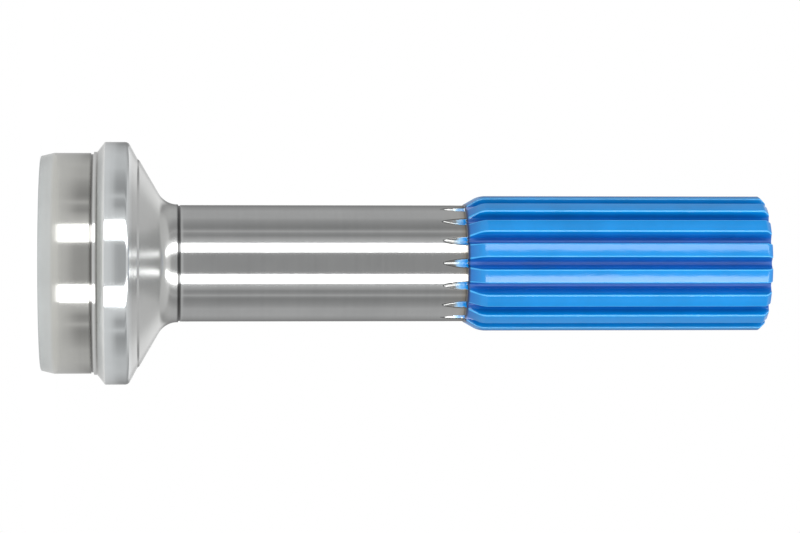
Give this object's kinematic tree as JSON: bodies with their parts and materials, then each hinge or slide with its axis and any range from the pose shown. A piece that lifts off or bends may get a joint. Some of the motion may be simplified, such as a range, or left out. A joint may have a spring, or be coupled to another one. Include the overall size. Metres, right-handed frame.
{
  "type": "splined shaft",
  "caption": "Weld-in slip stub shaft for a heavy driveline: a tube pilot and collar, a conical flare, a plain ground shaft and nylon-coated sliding splines.",
  "frame": {"origin": "centre of the pilot's end face, which is the foot of the part as it stands on end", "axes": "+Z along the shaft's axis from the tube end to the splined end; +X through the middle of one space between two teeth"},
  "size_m": [0.1142, 0.1142, 0.3426],
  "materials": {
    "turned_steel": "bright turned and ground steel, bare, a little duller on the pilot than on the shaft",
    "blue_nylon": "glossy blue nylon powder coating, fused on and a little uneven in the roots"
  },
  "bodies": {
    "root": {"stub_shaft": "turned_steel", "spline_coating": "blue_nylon"}
  },
  "joints": []
}
